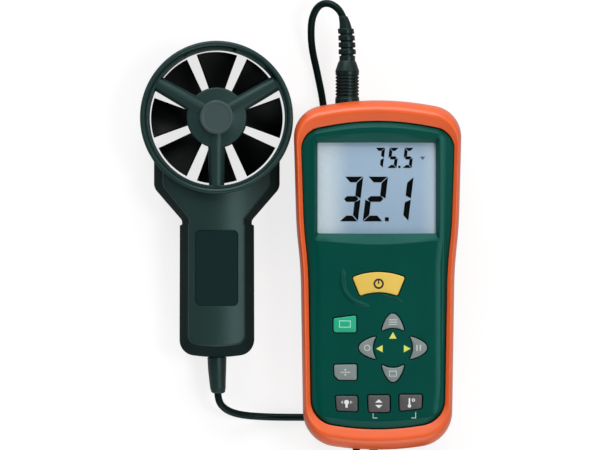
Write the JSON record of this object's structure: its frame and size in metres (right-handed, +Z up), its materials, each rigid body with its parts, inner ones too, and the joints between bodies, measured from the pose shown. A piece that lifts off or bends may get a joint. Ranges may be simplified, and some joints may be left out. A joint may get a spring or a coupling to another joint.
{
  "type": "handheld weather meter",
  "caption": "Handheld weather meter in a rubber boot, with display and keys, and a vane wind probe on a cord with a round plug.",
  "frame": {"origin": "on the table under the middle of the meter and probe together, measured without the cord and its plug", "axes": "+Y towards the head of the meter and the probe's vane, +Z up out of the display; both lie on their backs"},
  "size_m": [0.1545, 0.2788, 0.0393],
  "materials": {
    "boot_rubber": "satin moulded rubber",
    "case_green": "fine satin moulded plastic",
    "clear_window": "clear",
    "display_glass": "grey display cell",
    "white_plastic": "matt",
    "circuit_board": "lacquered board",
    "chips": "matt",
    "key_yellow": "matt",
    "key_green": "matt",
    "key_grey": "matt",
    "key_dark": "matt",
    "mat_rubber": "matt",
    "probe_plastic": "satin dark plastic",
    "label_blank": "smooth",
    "impeller_black": "matt",
    "steel": "bright",
    "brass": "bright",
    "cord_jacket": "satin jacket",
    "plug_rubber": "satin"
  },
  "bodies": {
    "root": {"meter_boot": "boot_rubber", "front_cover": "case_green", "rear_cover": "case_green", "battery_door": "case_green", "lcd_window": "clear_window", "lcd_panel": "display_glass", "lcd_backlight": "white_plastic", "lcd_frame": "white_plastic", "main_board": "circuit_board", "probe_board": "circuit_board", "board_components": "chips", "sensor_socket": "chips", "pickup_coil": "chips", "keypad_mat": "mat_rubber", "lcd_connector": "mat_rubber", "vane_duct": "probe_plastic", "front_guard": "probe_plastic", "rear_guard": "probe_plastic", "handle_front_shell": "probe_plastic", "handle_rear_shell": "probe_plastic", "label_plate": "label_blank", "case_screws": "steel", "board_screws": "steel", "battery_door_screw": "steel", "probe_screws": "steel", "stand_pin": "steel", "dome_switches": "steel", "plug_shell": "steel", "battery": "steel", "tripod_bush": "brass", "plug_pins": "brass", "battery_contacts": "brass", "front_bearing": "brass", "rear_bearing": "brass", "cord_probe_run": "cord_jacket", "cord_meter_run": "cord_jacket", "cord_coil": "cord_jacket", "coil_tie": "cord_jacket", "plug_body": "plug_rubber", "plug_relief": "plug_rubber", "probe_strain_relief": "plug_rubber"},
    "impeller": {"impeller": "impeller_black", "impeller_shaft": "steel"},
    "tilt_stand": {"tilt_stand": "case_green"},
    "power_key": {"power_key": "key_yellow"},
    "area_key": {"area_key": "key_green"},
    "average_key": {"average_key": "key_grey"},
    "light_key": {"light_key": "key_dark"},
    "max_min_key": {"max_min_key": "key_dark"},
    "temperature_key": {"temperature_key": "key_dark"},
    "up_key": {"up_key": "key_grey"},
    "down_key": {"down_key": "key_grey"},
    "left_key": {"left_key": "key_grey"},
    "right_key": {"right_key": "key_grey"}
  },
  "joints": [
    {"name": "impeller_spin", "type": "hinge", "parent": "root", "child": "impeller", "pos_m": [-0.04, 0.0613, 0.016], "axis": [0, 0, 1], "continuous": true},
    {"name": "stand_tilt", "type": "hinge", "parent": "root", "child": "tilt_stand", "pos_m": [0.0372, 0.034, 0.0092], "axis": [1, 0, 0], "range_deg": [0, 60]},
    {"name": "power_key_press", "type": "slide", "parent": "root", "child": "power_key", "axis": [0, 0, -1], "range_m": [0, 0.0008], "stiffness_N_per_m": 1500},
    {"name": "area_key_press", "type": "slide", "parent": "root", "child": "area_key", "axis": [0, 0, -1], "range_m": [0, 0.0008], "stiffness_N_per_m": 1500},
    {"name": "average_key_press", "type": "slide", "parent": "root", "child": "average_key", "axis": [0, 0, -1], "range_m": [0, 0.0008], "stiffness_N_per_m": 1500},
    {"name": "light_key_press", "type": "slide", "parent": "root", "child": "light_key", "axis": [0, 0, -1], "range_m": [0, 0.0008], "stiffness_N_per_m": 1500},
    {"name": "max_min_key_press", "type": "slide", "parent": "root", "child": "max_min_key", "axis": [0, 0, -1], "range_m": [0, 0.0008], "stiffness_N_per_m": 1500},
    {"name": "temperature_key_press", "type": "slide", "parent": "root", "child": "temperature_key", "axis": [0, 0, -1], "range_m": [0, 0.0008], "stiffness_N_per_m": 1500},
    {"name": "up_key_press", "type": "slide", "parent": "root", "child": "up_key", "axis": [0, 0, -1], "range_m": [0, 0.0008], "stiffness_N_per_m": 1500},
    {"name": "down_key_press", "type": "slide", "parent": "root", "child": "down_key", "axis": [0, 0, -1], "range_m": [0, 0.0008], "stiffness_N_per_m": 1500},
    {"name": "left_key_press", "type": "slide", "parent": "root", "child": "left_key", "axis": [0, 0, -1], "range_m": [0, 0.0008], "stiffness_N_per_m": 1500},
    {"name": "right_key_press", "type": "slide", "parent": "root", "child": "right_key", "axis": [0, 0, -1], "range_m": [0, 0.0008], "stiffness_N_per_m": 1500}
  ]
}
